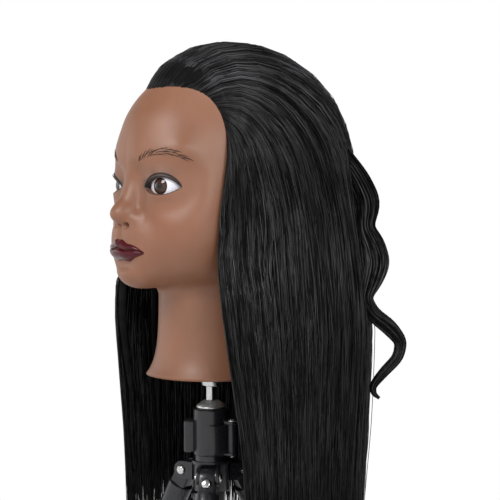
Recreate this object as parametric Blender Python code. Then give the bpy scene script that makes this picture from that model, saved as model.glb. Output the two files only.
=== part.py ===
"""A hairdresser's mannequin training head with long hair, held on a small folding tripod.

Metres, +Z up. The origin is on the floor under the column, and the face looks towards -Y.
Heights in the head are counted from the bottom of the neck. Bearings are counted about +Z from
the face's direction, -Y, towards the head's left side, +X.
"""

import math

import bmesh
import bpy
import numpy as np
from mathutils import Matrix, Vector

# Driving dimensions
NECK_BOTTOM = 0.430  # height of the neck's lower rim above the floor
GAP = 0.0003  # between solids that touch
MERGE = 1e-6
ROUND = 20  # sides of a turned piece
SMALL_ROUND = 12  # sides of a small turned piece

# Head
SKIN = 0.003  # thickness of the vinyl
HEAD_COLUMNS = 36
RAY_CENTRE = 0.165  # height that the rays through the face start from
UNDER_CHIN_SLOPE = 1.4  # fall of the lowest of those rays
EYE_RADIUS = 0.0120
EYE_SPREAD = 0.0335
EYE_DEPTH = -0.0662
EYE_HEIGHT = 0.169

# Hair
HAIR_TIP = -0.165
HAIR_PART = 0.216  # where the crown's hair ends and the hanging hair starts
HAIR_THICK = 0.010
HAIR_FRONT = 53  # bearing of the hanging hair's front edges, in degrees
HAIR_SIDE_END = 140  # bearing where the side hair meets the back hair
SEAM = 0.6  # half of the bearing left open between two bunches of hair, in degrees
STYLED_BEARING = 138  # where the hair stands fuller, on the side that is being styled
LOCK_BEARING = 141
LOCK_RADIUS = 0.0085

# Column and plug
COLUMN_RADIUS = 0.0122
COLUMN_WALL = 0.0012
COLUMN_LENGTH = 0.270
COLUMN_TOP = NECK_BOTTOM - 0.0315
ROD_RADIUS = 0.005

# Column clamp
COLLAR_RADIUS = 0.0165
COLLAR_BOTTOM = NECK_BOTTOM - 0.0735
COLLAR_TOP = COLUMN_TOP - 0.0002
CLAMP_PIN_BEARING = 117
CLAMP_LEVER_TIP = 52

# Tripod
LEG_BEARINGS = (50, 170, 290)
LEG_SPREAD = 27
PIVOT_HEIGHT = NECK_BOTTOM - 0.090
PIVOT_RADIUS = 0.027
HUB_BOTTOM = PIVOT_HEIGHT - 0.016
KNUCKLE_HALF = 0.0067
UPPER_RADIUS = 0.0095
LOWER_RADIUS = 0.0075
TUBE_WALL = 0.001
UPPER_END = -0.200
FOOT_RADIUS = 0.010
FOOT_CENTRE = -(PIVOT_HEIGHT - 0.95 * FOOT_RADIUS) / math.cos(math.radians(LEG_SPREAD))


# ---------------------------------------------------------------- helpers


def clear_scene():
    for old in list(bpy.data.objects):
        bpy.data.objects.remove(old)


def material(name, colour, roughness, metallic=0.0):
    """A Principled material, made once for each name."""
    made = bpy.data.materials.get(name)
    if made is None:
        made = bpy.data.materials.new(name)
        made.use_nodes = True
        shader = made.node_tree.nodes["Principled BSDF"]
        shader.inputs["Base Color"].default_value = (*colour, 1.0)
        shader.inputs["Roughness"].default_value = roughness
        shader.inputs["Metallic"].default_value = metallic
    return made


def vinyl():
    return material("brown_vinyl", (0.17, 0.075, 0.042), 0.38)


def eye_plastic():
    return material("eye_plastic", (0.85, 0.83, 0.80), 0.08)


def black_hair():
    return material("black_hair", (0.012, 0.012, 0.014), 0.35)


def black_plastic():
    return material("black_plastic", (0.02, 0.02, 0.022), 0.45)


def grey_plastic():
    return material("neck_plastic", (0.12, 0.11, 0.10), 0.5)


def aluminium():
    return material("aluminium_tube", (0.72, 0.73, 0.75), 0.3, 1.0)


def steel():
    return material("bright_steel", (0.62, 0.62, 0.63), 0.22, 1.0)


def rubber():
    return material("foot_rubber", (0.015, 0.015, 0.015), 0.85)


def piece(name, mesh, finish, parent=None, smooth=True):
    """The finished object of a bmesh, which is freed."""
    bmesh.ops.remove_doubles(mesh, verts=mesh.verts, dist=MERGE)
    bmesh.ops.dissolve_degenerate(mesh, edges=mesh.edges, dist=MERGE)
    bmesh.ops.recalc_face_normals(mesh, faces=mesh.faces)
    data = bpy.data.meshes.new(name)
    mesh.to_mesh(data)
    mesh.free()
    data.materials.append(finish)
    if smooth:
        data.shade_smooth()
        data.set_sharp_from_angle(angle=math.radians(40))
    made = bpy.data.objects.new(name, data)
    bpy.context.scene.collection.objects.link(made)
    made.parent = parent
    return made


def empty(name, place, turn=(0, 0, 0), parent=None):
    made = bpy.data.objects.new(name, None)
    made.location = place
    made.rotation_euler = turn
    made.parent = parent
    bpy.context.scene.collection.objects.link(made)
    return made


def turned(outline, sides=ROUND):
    """A bmesh turned about +Z from (radius, height) points. An outline that ends on the axis stays open there."""
    mesh = bmesh.new()
    points = [mesh.verts.new((radius, 0, height)) for radius, height in outline]
    edges = [mesh.edges.new(pair) for pair in zip(points, points[1:])]
    if outline[0][0] > 0 or outline[-1][0] > 0:
        edges.append(mesh.edges.new((points[-1], points[0])))
    bmesh.ops.spin(
        mesh, geom=points + edges, cent=(0, 0, 0), axis=(0, 0, 1), angle=math.tau, steps=sides, use_merge=True
    )
    return mesh


def extruded(outline, low, high):
    """A bmesh prism with a flat (x, y) outline, from height low to height high."""
    mesh = bmesh.new()
    base = mesh.faces.new([mesh.verts.new((x, y, low)) for x, y in outline])
    grown = bmesh.ops.extrude_face_region(mesh, geom=[base])
    moved = [part for part in grown["geom"] if isinstance(part, bmesh.types.BMVert)]
    bmesh.ops.translate(mesh, verts=moved, vec=(0, 0, high - low))
    return mesh


def pipe(inner, outer, low, high, sides=ROUND):
    return turned([(inner, low), (outer, low), (outer, high), (inner, high)], sides)


def rod(radius, low, high, sides=SMALL_ROUND):
    return turned([(0, low), (radius, low), (radius, high), (0, high)], sides)


def box(low, high):
    mesh = bmesh.new()
    bmesh.ops.create_cube(mesh, size=1)
    size = Vector(high) - Vector(low)
    bmesh.ops.scale(mesh, vec=size, verts=mesh.verts)
    bmesh.ops.translate(mesh, vec=(Vector(high) + Vector(low)) / 2, verts=mesh.verts)
    return mesh


def moved(mesh, matrix):
    bmesh.ops.transform(mesh, matrix=matrix, verts=mesh.verts)
    return mesh


def helper(name, mesh, parent=None):
    """A shape that only joins to another or cuts it."""
    made = piece(name, mesh, black_plastic(), parent, smooth=False)
    made.hide_render = True
    made.display_type = "WIRE"
    return made


def combine(target, tool, operation):
    change = target.modifiers.new(tool.name, "BOOLEAN")
    change.operation = operation
    change.object = tool
    change.solver = "EXACT"


def toward(bearing, radius, height=0.0):
    """The point at this radius and height in the direction of a bearing in degrees."""
    angle = math.radians(bearing)
    return Vector((radius * math.sin(angle), -radius * math.cos(angle), height))


def facing(bearing):
    """Turns -Y towards a bearing in degrees."""
    return Matrix.Rotation(math.radians(bearing), 4, "Z")


# ---------------------------------------------------------------- head


def smooth_union(first, second, width):
    share = np.clip(0.5 + 0.5 * (second - first) / width, 0, 1)
    return second * (1 - share) + first * share - width * share * (1 - share)


def ellipsoid(points, centre, radii):
    """Roughly the distance from the points to an ellipsoid."""
    scaled = (points - np.array(centre)) / np.array(radii)
    size = np.linalg.norm(scaled, axis=-1)
    slope = np.linalg.norm(scaled / np.array(radii), axis=-1)
    return size * (size - 1) / np.maximum(slope, 1e-9)


def neck_distance(points):
    """The neck leans a little forward going up and flares towards its lower rim."""
    height = points[..., 2]
    flare = 0.008 * np.exp(-np.maximum(height, 0) / 0.018)
    across = np.hypot(points[..., 0], points[..., 1] - 0.004)
    return np.maximum(across - 0.049 - flare, height - 0.13)


def head_distance(points):
    """Negative inside the head and neck. Both sides are alike, so one side's pieces serve for both."""
    folded = points.copy()
    folded[..., 0] = np.abs(folded[..., 0])
    cranium = ellipsoid(folded, (0, 0.014, 0.196), (0.074, 0.096, 0.089))
    face = ellipsoid(folded, (0, -0.0165, 0.155), (0.063, 0.058, 0.076))
    shape = smooth_union(cranium, face, 0.030)
    jaw = ellipsoid(folded, (0, -0.035, 0.111), (0.050, 0.046, 0.031))
    shape = smooth_union(shape, jaw, 0.025)
    chin = ellipsoid(folded, (0, -0.077, 0.095), (0.018, 0.015, 0.013))
    shape = smooth_union(shape, chin, 0.016)
    shape = smooth_union(shape, neck_distance(points), 0.020)
    cheek = ellipsoid(folded, (0.035, -0.054, 0.143), (0.022, 0.022, 0.021))
    shape = smooth_union(shape, cheek, 0.016)
    mouth = ellipsoid(folded, (0, -0.075, 0.116), (0.026, 0.016, 0.015))
    shape = smooth_union(shape, mouth, 0.010)
    bridge = ellipsoid(folded, (0, -0.080, 0.165), (0.008, 0.012, 0.024))
    shape = smooth_union(shape, bridge, 0.010)
    tip = ellipsoid(folded, (0, -0.0945, 0.1455), (0.011, 0.010, 0.009))
    return smooth_union(shape, tip, 0.008)


def head_rays():
    """(start height, slope) of each row of rays: level up the neck, then swinging down under the chin, then up."""
    neck = [(height, 0.0) for height in np.linspace(0, 0.060, 5)]
    under = [
        (0.060 + (RAY_CENTRE - 0.060) * share, -UNDER_CHIN_SLOPE * share)
        for share in np.linspace(0, 1, 5)[1:]
    ]
    lowest = -math.degrees(math.atan(UNDER_CHIN_SLOPE))
    rises = np.linspace(lowest, 90, 22)[1:-1]
    return neck + under + [(RAY_CENTRE, math.tan(math.radians(rise))) for rise in rises]


def ray_surface(starts, directions, level):
    """Where each ray leaves the head, or passes this level of distance from it."""
    near = np.zeros(starts.shape[:-1])
    far = np.full(starts.shape[:-1], 0.2)
    for _ in range(30):
        middle = (near + far) / 2
        outside = head_distance(starts + directions * middle[..., None]) > level
        near = np.where(outside, near, middle)
        far = np.where(outside, middle, far)
    return starts + directions * far[..., None]


def head_grid(level):
    """Rows of points round the head at this distance outside its surface, and the point on top."""
    bearings = np.arange(HEAD_COLUMNS) * math.tau / HEAD_COLUMNS
    around = np.stack([np.sin(bearings), -np.cos(bearings), np.zeros(HEAD_COLUMNS)], axis=-1)
    rows = []
    for height, slope in head_rays():
        starts = np.zeros((HEAD_COLUMNS, 3))
        starts[:, 2] = height
        directions = around + np.array([0, 0, slope])
        directions /= np.linalg.norm(directions, axis=1)[:, None]
        rows.append(ray_surface(starts, directions, level))
    top = ray_surface(np.array([[0, 0, RAY_CENTRE]]), np.array([[0, 0, 1.0]]), level)[0]
    return rows, top


def add_rows(mesh, rows, top, flipped=False):
    """Skins closed rows of points into a cap and returns its lowest row of vertices."""
    rings = [[mesh.verts.new(point) for point in row] for row in rows]
    pole = mesh.verts.new(top)
    for lower, upper in zip(rings, rings[1:]):
        for i in range(len(lower)):
            j = (i + 1) % len(lower)
            corners = [lower[i], lower[j], upper[j], upper[i]]
            mesh.faces.new(corners[::-1] if flipped else corners)
    last = rings[-1]
    for i in range(len(last)):
        corners = [last[i], last[(i + 1) % len(last)], pole]
        mesh.faces.new(corners[::-1] if flipped else corners)
    return rings[0]


def build_skin(head):
    """The hollow vinyl head and neck, open at the neck's lower rim and at the eyes."""
    mesh = bmesh.new()
    outside = add_rows(mesh, *head_grid(0.0))
    inside = add_rows(mesh, *head_grid(-SKIN), flipped=True)
    for i in range(HEAD_COLUMNS):
        j = (i + 1) % HEAD_COLUMNS
        mesh.faces.new([inside[i], inside[j], outside[j], outside[i]])
    skin = piece("head_skin", mesh, vinyl(), head)
    for side, name in ((1, "left"), (-1, "right")):
        socket = helper(f"{name}_eye_socket", eye_ball(EYE_RADIUS + GAP), head)
        socket.location = (side * EYE_SPREAD, EYE_DEPTH, EYE_HEIGHT)
        combine(skin, socket, "DIFFERENCE")


def eye_ball(radius):
    mesh = bmesh.new()
    bmesh.ops.create_uvsphere(mesh, u_segments=16, v_segments=10, radius=radius)
    return mesh


def build_eyes(head):
    for side, name in ((1, "left"), (-1, "right")):
        eye = piece(f"{name}_eye", eye_ball(EYE_RADIUS), eye_plastic(), head)
        eye.location = (side * EYE_SPREAD, EYE_DEPTH, EYE_HEIGHT)


def build_neck_fittings(head):
    """The plate that closes the neck and the tapered socket that drops over the plug."""
    socket = [(0.0159, 0.0025), (0.0230, 0.0025), (0.0230, 0.0050), (0.0185, 0.0050), (0.0185, 0.0730), (0.0134, 0.0730)]
    piece("neck_socket", turned(socket), grey_plastic(), head)
    piece("neck_plate", pipe(0.0188, 0.0445, 0.0053, 0.0093, 28), grey_plastic(), head)


# ---------------------------------------------------------------- hair


def hair_outline(height):
    """(half width, half length, centre y) of the hanging hair's outer outline at a height."""
    heights = (HAIR_TIP, -0.05, 0.04, 0.09, 0.15, HAIR_PART)
    half_width = np.interp(height, heights, (0.096, 0.100, 0.105, 0.103, 0.096, 0.089))
    half_length = np.interp(height, heights, (0.112, 0.120, 0.124, 0.122, 0.117, 0.110))
    return half_width, half_length, 0.015


def hair_point(bearing, height, inward):
    """A point in the hanging hair, at this depth inward from its outer surface."""
    half_width, half_length, centre = hair_outline(height)
    angle = math.radians(bearing)
    radius = 1 / math.hypot(math.sin(angle) / half_width, math.cos(angle) / half_length)
    fuller = np.interp(height, (-0.1, 0.05, 0.18), (0.014, 0.012, 0.0))
    radius += fuller * math.exp(-(((bearing - STYLED_BEARING) / 30) ** 2)) - inward
    return Vector((radius * math.sin(angle), centre - radius * math.cos(angle), height))


def build_curtain(name, first, last, head):
    """One bunch of the hanging hair: a slab that curves round the head between two bearings."""
    bearings = np.linspace(first, last, 10)
    heights = np.concatenate([np.linspace(HAIR_TIP, 0.04, 4), np.linspace(0.09, HAIR_PART, 4)])
    mesh = bmesh.new()
    skins = [
        [[mesh.verts.new(hair_point(b, h, depth)) for b in bearings] for h in heights]
        for depth in (0.0, HAIR_THICK)
    ]
    outer, inner = skins
    for r in range(len(heights) - 1):
        for c in range(len(bearings) - 1):
            mesh.faces.new([outer[r][c], outer[r][c + 1], outer[r + 1][c + 1], outer[r + 1][c]])
            mesh.faces.new([inner[r + 1][c], inner[r + 1][c + 1], inner[r][c + 1], inner[r][c]])
        for c in (0, -1):
            mesh.faces.new([inner[r][c], outer[r][c], outer[r + 1][c], inner[r + 1][c]])
    for c in range(len(bearings) - 1):
        for r in (0, -1):
            mesh.faces.new([inner[r][c], inner[r][c + 1], outer[r][c + 1], outer[r][c]])
    piece(name, mesh, black_hair(), head)


def hairline_height(bearing):
    """Height of the crown hair's lower edge: the hairline in front, and the start of the hanging hair behind."""
    away = abs((bearing + 180) % 360 - 180)
    return np.interp(away, (0, 30, 45, 60, 80), (0.260, 0.257, 0.243, 0.229, HAIR_PART + 0.003))


def build_crown(head):
    """The hair swept back over the crown, thickening away from the hairline."""
    shares = np.linspace(0, 1, 9)[:-1]
    bearings = np.arange(HEAD_COLUMNS) * 360 / HEAD_COLUMNS
    layers = {"inner": [], "outer": []}
    centre = np.array([0.0, 0.0, RAY_CENTRE])
    for share in shares:
        rows = {"inner": [], "outer": []}
        for bearing in bearings:
            reach = np.interp(abs((bearing + 180) % 360 - 180), (0, 90, 180), (0.070, 0.074, 0.104))
            lowest = math.atan2(hairline_height(bearing) - RAY_CENTRE, reach)
            rise = lowest + (math.pi / 2 - lowest) * share
            direction = np.array(toward(bearing, math.cos(rise), math.sin(rise)))
            front = np.interp(abs((bearing + 180) % 360 - 180), (40, 90), (0.0045, 0.0090))
            thick = front + (0.0115 - front) * min(1, 2.5 * share)
            for layer, level in (("inner", 0.0015), ("outer", thick)):
                rows[layer].append(ray_surface(centre[None], direction[None], level)[0])
        for layer in rows:
            layers[layer].append(rows[layer])
    up = np.array([[0, 0, 1.0]])
    mesh = bmesh.new()
    outside = add_rows(mesh, layers["outer"], ray_surface(centre[None], up, 0.0115)[0])
    inside = add_rows(mesh, layers["inner"], ray_surface(centre[None], up, 0.0015)[0], flipped=True)
    for i in range(HEAD_COLUMNS):
        j = (i + 1) % HEAD_COLUMNS
        mesh.faces.new([inside[i], inside[j], outside[j], outside[i]])
    piece("hair_crown", mesh, black_hair(), head)


def build_lock(head):
    """The curled lock, which leaves the left side's hair behind the ear and ends in a thin loose loop.

    Each stop on its centre line is (distance out, distance sideways, height, thickness share).
    """
    stops = [(0.1225, 0.000, 0.205, 1.0), (0.134, 0.002, 0.196, 1.0), (0.147, 0.004, 0.178, 1.0)]
    stops += [(0.155, 0.004, 0.155, 1.0), (0.158, 0.000, 0.130, 0.95), (0.155, -0.006, 0.105, 0.8)]
    stops += [(0.149, -0.007, 0.084, 0.6), (0.148, -0.002, 0.066, 0.45), (0.154, 0.005, 0.050, 0.35)]
    stops += [(0.165, 0.007, 0.039, 0.32), (0.172, 0.002, 0.026, 0.3), (0.163, -0.005, 0.012, 0.28)]
    stops += [(0.150, -0.005, 0.002, 0.25), (0.147, 0.001, -0.008, 0.22), (0.151, 0.003, -0.015, 0.2)]
    curve = bpy.data.curves.new("curled_lock", "CURVE")
    curve.dimensions = "3D"
    curve.bevel_depth = LOCK_RADIUS
    curve.bevel_resolution = 2
    curve.resolution_u = 3
    curve.use_fill_caps = True
    curve.materials.append(black_hair())
    line = curve.splines.new("NURBS")
    line.points.add(len(stops) - 1)
    line.order_u = 4
    line.use_endpoint_u = True
    for point, (out, side, height, share) in zip(line.points, stops):
        point.co = (*(facing(LOCK_BEARING) @ Vector((side, -out, height))), 1)
        point.radius = share
    made = bpy.data.objects.new("curled_lock", curve)
    bpy.context.scene.collection.objects.link(made)
    made.parent = head


def build_hair(head):
    build_crown(head)
    build_curtain("hair_left", HAIR_FRONT, HAIR_SIDE_END - SEAM, head)
    build_curtain("hair_back", HAIR_SIDE_END + SEAM, 360 - HAIR_SIDE_END - SEAM, head)
    build_curtain("hair_right", 360 - HAIR_SIDE_END + SEAM, 360 - HAIR_FRONT, head)
    build_lock(head)


# ---------------------------------------------------------------- column


def build_column():
    """The sliding column: its tube, domed top, foot cap and threaded rod."""
    column = empty("column_axis", (0, 0, COLUMN_TOP))
    bore = COLUMN_RADIUS - COLUMN_WALL
    piece("column_tube", pipe(bore, COLUMN_RADIUS, -COLUMN_LENGTH, 0), aluminium(), column)
    hole = ROD_RADIUS + GAP
    spigot = bore - GAP
    dome = [(hole, -0.007), (spigot, -0.007), (spigot, GAP), (0.0134, GAP), (0.0134, 0.0010), (0.0126, 0.0024)]
    dome += [(0.0106, 0.0042), (0.0082, 0.0058), (0.0068, 0.0068), (hole, 0.0068)]
    piece("column_cap", turned(dome), steel(), column)
    low = -COLUMN_LENGTH
    cap = [(0, low - 0.008), (0.0100, low - 0.008), (COLUMN_RADIUS, low - 0.006), (COLUMN_RADIUS, low - GAP)]
    cap += [(spigot, low - GAP), (spigot, low + 0.012), (0, low + 0.012)]
    piece("column_end_cap", turned(cap), black_plastic(), column)
    top = NECK_BOTTOM + 0.063 - COLUMN_TOP
    thread = [(0, -0.016), (ROD_RADIUS, -0.016), (ROD_RADIUS, top - 0.001), (ROD_RADIUS - 0.001, top), (0, top)]
    piece("threaded_rod", turned(thread, SMALL_ROUND), steel(), column)


def build_plug():
    """The plug that the head drops over and the nut that locks it on the rod."""
    plug = empty("plug_axis", (0, 0, NECK_BOTTOM))
    hole = ROD_RADIUS + GAP
    hex_hole = hole / math.cos(math.pi / 6)
    nut = [(hex_hole, -0.0118), (0.0080, -0.0118), (0.00866, -0.0112), (0.00866, -0.0061)]
    nut += [(0.0080, -0.0055), (hex_hole, -0.0055)]
    piece("jam_nut", turned(nut, 6), steel(), plug, smooth=False)
    taper = [(0, 0.0640), (hole, 0.0640), (hole, -0.0052), (0.0125, -0.0052), (0.0155, -0.0020), (0.0155, 0.0020)]
    taper += [(0.0130, 0.0680), (0.0110, 0.0700), (0, 0.0700)]
    piece("head_plug", turned(taper), black_plastic(), plug)


# ---------------------------------------------------------------- lever clamps


def ear_outline(reach, half_width, start):
    """A tab along -Y, from start to a round end about reach."""
    outline = [(-half_width, -start), (half_width, -start)]
    for step in range(7):
        angle = math.pi * step / 6
        outline.append((half_width * math.cos(angle), -reach - half_width * math.sin(angle)))
    return outline[::-1]


def arc_outline(inner, outer, first, last, steps=8):
    """A flat band between two radii and two bearings."""
    bearings = np.linspace(first, last, steps)
    ring = [tuple(toward(b, outer))[:2] for b in bearings]
    return ring + [tuple(toward(b, inner))[:2] for b in bearings[::-1]]


def build_clamp(prefix, parent, outline, ears, pin_bearing, tip_bearing, band, pin_radius):
    """A split collar with a hinged lever on a pin.

    outline is the collar's turned section, ears the two heights that the lever fits between, and band
    the lever's inner and outer radius.
    """
    low, high = ears
    reach = band[1] + 0.001
    half_width = pin_radius + 0.0028
    collar = piece(f"{prefix}_collar", turned(outline), black_plastic(), parent)
    middle = (outline[0][0] + band[0]) / 2
    for part, bottom, top in (("lower", low - 0.0025, low - GAP), ("upper", high + GAP, high + 0.0028)):
        tab = moved(extruded(ear_outline(reach, half_width, middle), bottom, top), facing(pin_bearing))
        combine(collar, helper(f"{prefix}_{part}_ear", tab, parent), "UNION")
    split = box((-0.0008, -0.05, low - 0.1), (0.0008, -outline[0][0] / 2, high + 0.1))
    combine(collar, helper(f"{prefix}_split", moved(split, facing(pin_bearing + 28)), parent), "DIFFERENCE")
    bore = moved(rod(pin_radius + GAP, low - 0.01, high + 0.01), Matrix.Translation(toward(pin_bearing, reach)))
    bore = helper(f"{prefix}_pin_bore", bore, parent)
    combine(collar, bore, "DIFFERENCE")
    hinge = empty(f"{prefix}_lever_axis", toward(pin_bearing, reach), parent=parent)
    back = Matrix.Translation(-toward(pin_bearing, reach))
    barrel_turn = pin_bearing - math.degrees(0.002 / reach)
    blade = moved(extruded(arc_outline(*band, tip_bearing, barrel_turn), low, high), back)
    lever = piece(f"{prefix}_lever", blade, black_plastic(), hinge)
    combine(lever, helper(f"{prefix}_barrel", rod(half_width - 0.0003, low, high), hinge), "UNION")
    combine(lever, bore, "DIFFERENCE")
    head_low = high + 0.0028 + GAP
    pin = [(0, low - 0.0040), (pin_radius, low - 0.0040), (pin_radius, head_low), (half_width, head_low)]
    pin += [(half_width, head_low + 0.0008), (half_width * 0.7, head_low + 0.0020), (0, head_low + 0.0024)]
    stud = piece(f"{prefix}_pin", turned(pin, SMALL_ROUND), steel(), parent)
    stud.location = toward(pin_bearing, reach)
    return collar


def build_column_clamp():
    bore = COLUMN_RADIUS + GAP
    edge = COLLAR_RADIUS - 0.0012
    outline = [(bore, COLLAR_BOTTOM), (COLLAR_RADIUS, COLLAR_BOTTOM), (COLLAR_RADIUS, COLLAR_TOP - 0.0012)]
    outline += [(edge, COLLAR_TOP), (bore, COLLAR_TOP)]
    ears = (COLLAR_BOTTOM + 0.0025, COLLAR_BOTTOM + 0.0280)
    band = (COLLAR_RADIUS + 0.0006, COLLAR_RADIUS + 0.0038)
    collar = build_clamp("clamp", None, outline, ears, CLAMP_PIN_BEARING, CLAMP_LEVER_TIP, band, 0.0019)
    boss = box((-0.008, -0.0245, COLLAR_BOTTOM + 0.002), (0.008, -0.0145, COLLAR_TOP - 0.0105))
    bmesh.ops.bevel(boss, geom=boss.edges[:], offset=0.0015, segments=1, affect="EDGES")
    combine(collar, helper("clamp_boss", moved(boss, facing(-35))), "UNION")


# ---------------------------------------------------------------- tripod


def build_hub():
    """The hub below the clamp, with a pair of ears for each leg."""
    bore = COLUMN_RADIUS + GAP
    top = COLLAR_BOTTOM - 0.0005
    ring = PIVOT_HEIGHT + 0.0085
    sleeve = [(bore, HUB_BOTTOM), (0.0162, HUB_BOTTOM), (0.0162, ring), (0.0180, ring), (0.0180, ring + 0.0025)]
    sleeve += [(0.0150, ring + 0.0025), (0.0150, top), (bore, top)]
    hub = piece("tripod_hub", turned(sleeve, 30), black_plastic())
    for number, bearing in enumerate(LEG_BEARINGS, start=1):
        for part, side in (("near", 1), ("far", -1)):
            face = side * (KNUCKLE_HALF + GAP)
            ear = extruded(ear_outline(PIVOT_RADIUS, 0.0080, 0.0145), *sorted((face, face + side * 0.0030)))
            # The tab is drawn flat, so it is stood on edge with its thickness along the pivot's axis.
            ear = moved(ear, Matrix.Translation((0, 0, PIVOT_HEIGHT)) @ Matrix.Rotation(math.pi / 2, 4, "Y"))
            combine(hub, helper(f"hub_ear_{number}_{part}", moved(ear, facing(bearing))), "UNION")
        bore_mesh = moved(rod(0.0023, -0.03, 0.03), Matrix.Rotation(math.pi / 2, 4, "Y"))
        hole = helper(f"hub_pivot_bore_{number}", bore_mesh)
        hole.location = toward(bearing, PIVOT_RADIUS, PIVOT_HEIGHT)
        hole.rotation_euler = (0, 0, math.radians(bearing))
        combine(hub, hole, "DIFFERENCE")


def build_pivot_screw(number, bearing):
    reach = KNUCKLE_HALF + 2 * GAP + 0.0030
    screw = [(0, -reach - 0.0015), (0.0020, -reach - 0.0015), (0.0020, reach), (0.0042, reach)]
    screw += [(0.0042, reach + 0.0012), (0.0030, reach + 0.0022), (0, reach + 0.0024)]
    mesh = moved(turned(screw, SMALL_ROUND), Matrix.Rotation(math.pi / 2, 4, "Y"))
    made = piece(f"leg_{number}_pivot_screw", mesh, steel())
    made.location = toward(bearing, PIVOT_RADIUS, PIVOT_HEIGHT)
    made.rotation_euler = (0, 0, math.radians(bearing))


def build_knuckle(number, leg):
    """The leg's top: a block between the hub's ears, widening to a cup for the tube."""
    outline = [(-0.0075, -0.024), (0.0075, -0.024)]
    outline += [(0.0075 * math.cos(math.pi * s / 8), 0.0075 * math.sin(math.pi * s / 8)) for s in range(9)]
    block = extruded(outline, -KNUCKLE_HALF, KNUCKLE_HALF)
    # The outline is drawn in the plane that the leg swings in.
    stand = Matrix.Rotation(math.pi / 2, 4, "Z") @ Matrix.Rotation(math.pi / 2, 4, "X")
    knuckle = piece(f"leg_{number}_knuckle", moved(block, stand), black_plastic(), leg)
    cup = helper(f"knuckle_cup_{number}", rod(0.0115, -0.045, -0.0165, ROUND), leg)
    combine(knuckle, cup, "UNION")
    socket = helper(f"knuckle_socket_{number}", rod(UPPER_RADIUS + GAP, -0.06, -0.0195, ROUND), leg)
    combine(knuckle, socket, "DIFFERENCE")
    across = moved(rod(0.0023, -0.03, 0.03), Matrix.Rotation(math.pi / 2, 4, "Y"))
    combine(knuckle, helper(f"knuckle_pivot_bore_{number}", across, leg), "DIFFERENCE")
    outward = Matrix.Translation((0, 0, -0.0080)) @ Matrix.Rotation(math.pi / 2, 4, "X")
    pilot = moved(rod(0.0018, 0.0040, 0.0200), outward)
    combine(knuckle, helper(f"knuckle_pilot_{number}", pilot, leg), "DIFFERENCE")
    face = 0.0075 + GAP
    screw = [(0, 0.0045), (0.0015, 0.0045), (0.0015, face), (0.0045, face), (0.0045, face + 0.0010)]
    screw += [(0.0032, face + 0.0022), (0, face + 0.0026)]
    piece(f"leg_{number}_tube_screw", moved(turned(screw, SMALL_ROUND), outward), steel(), leg)


def build_leg(number, bearing):
    turn = (-math.radians(LEG_SPREAD), 0, math.radians(bearing))
    leg = empty(f"leg_{number}_axis", toward(bearing, PIVOT_RADIUS, PIVOT_HEIGHT), turn)
    build_knuckle(number, leg)
    upper = pipe(UPPER_RADIUS - TUBE_WALL, UPPER_RADIUS, UPPER_END, -0.0200)
    piece(f"leg_{number}_upper_tube", upper, aluminium(), leg)
    low = UPPER_END - 0.022
    ring = [(LOWER_RADIUS + GAP, low), (0.0125, low), (0.0125, UPPER_END + 0.010)]
    ring += [(UPPER_RADIUS + GAP, UPPER_END + 0.010), (UPPER_RADIUS + GAP, UPPER_END - GAP)]
    ring += [(LOWER_RADIUS + GAP, UPPER_END - GAP)]
    band = (0.0131, 0.0157)
    build_clamp(f"leg_{number}_lock", leg, ring, (low + 0.004, UPPER_END + 0.003), 70, -10, band, 0.0014)
    lower = pipe(LOWER_RADIUS - TUBE_WALL, LOWER_RADIUS, -0.3660, -0.1600, 16)
    piece(f"leg_{number}_lower_tube", lower, aluminium(), leg)
    build_foot(number, leg)


def build_foot(number, leg):
    """A rubber boot with a round end, worn flat where it stands on the floor."""
    arc = [math.pi / 2 * step / 4 for step in range(5)]
    ball = [(FOOT_RADIUS * math.sin(a), FOOT_CENTRE - FOOT_RADIUS * math.cos(a)) for a in arc]
    ball += [(0.0105, -0.3640), (0.0098, -0.3520), (LOWER_RADIUS + GAP, -0.3520), (LOWER_RADIUS + GAP, -0.3668)]
    mesh = turned(ball + [(0, -0.3668)], 16)
    bmesh.ops.remove_doubles(mesh, verts=mesh.verts, dist=MERGE)
    bpy.context.view_layer.update()
    floor = leg.matrix_world.inverted() @ Vector((0, 0, 0))
    down = leg.matrix_world.to_3x3().inverted() @ Vector((0, 0, -1))
    everything = mesh.verts[:] + mesh.edges[:] + mesh.faces[:]
    cut = bmesh.ops.bisect_plane(mesh, geom=everything, plane_co=floor, plane_no=down, clear_outer=True)
    rim = [part for part in cut["geom_cut"] if isinstance(part, bmesh.types.BMEdge)]
    bmesh.ops.contextual_create(mesh, geom=rim)
    piece(f"leg_{number}_foot", mesh, rubber(), leg)


def main():
    clear_scene()
    head = empty("head_axis", (0, 0, NECK_BOTTOM))
    build_skin(head)
    build_eyes(head)
    build_neck_fittings(head)
    build_hair(head)
    build_column()
    build_plug()
    build_column_clamp()
    build_hub()
    for number, bearing in enumerate(LEG_BEARINGS, start=1):
        build_pivot_screw(number, bearing)
        build_leg(number, bearing)


main()
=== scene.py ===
"""The visual model of the hairdressing training head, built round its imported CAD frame."""
import math
import bpy
import numpy as np
from mathutils import Matrix, Vector


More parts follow.
